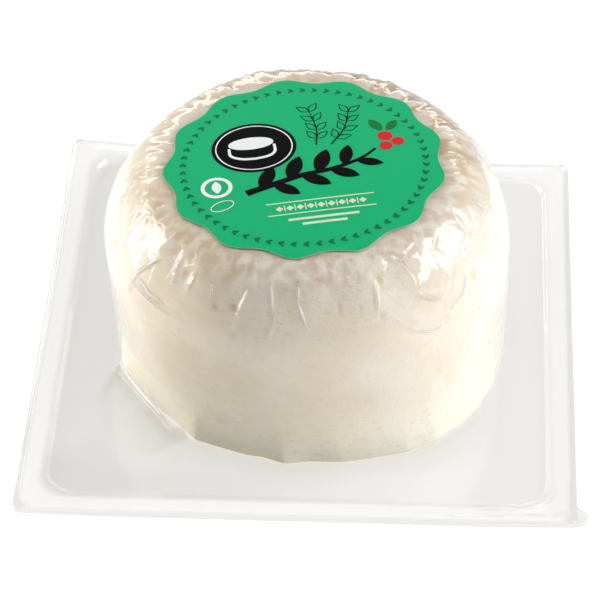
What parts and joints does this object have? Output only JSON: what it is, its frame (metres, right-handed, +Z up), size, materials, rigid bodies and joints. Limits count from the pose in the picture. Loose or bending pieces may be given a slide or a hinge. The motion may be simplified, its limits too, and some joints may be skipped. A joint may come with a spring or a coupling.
{
  "type": "vacuum-packed goat cheese",
  "caption": "Drum-shaped white goat cheese with a round shoulder, sealed under clear skin film on a shallow formed clear sheet with a peel tab, and a scalloped label on its top.",
  "frame": {"origin": "middle of the clear sheet's outline, without its peel tab, on the flat underside that the pack lies on", "axes": "+Z up through the cheese, +X to the right of the label and towards the side with the peel tab, +Y to the back of the pack; the peel tab is at +X -Y"},
  "size_m": [0.1528, 0.1576, 0.0619],
  "materials": {
    "cheese": "moist cream-white pressed curd with small curd pits and a faint mould pattern round the rim",
    "skin_film": "clear glossy skin film drawn tight, with fine creases on the shoulder and tucks at the foot",
    "clear_sheet": "clear formed sheet, faintly grey, with bright formed lines",
    "label_paper": "satin printed paper in green, black and cream"
  },
  "bodies": {
    "root": {"cheese": "cheese", "top_film": "skin_film", "base_sheet": "clear_sheet", "label": "label_paper"}
  },
  "joints": []
}
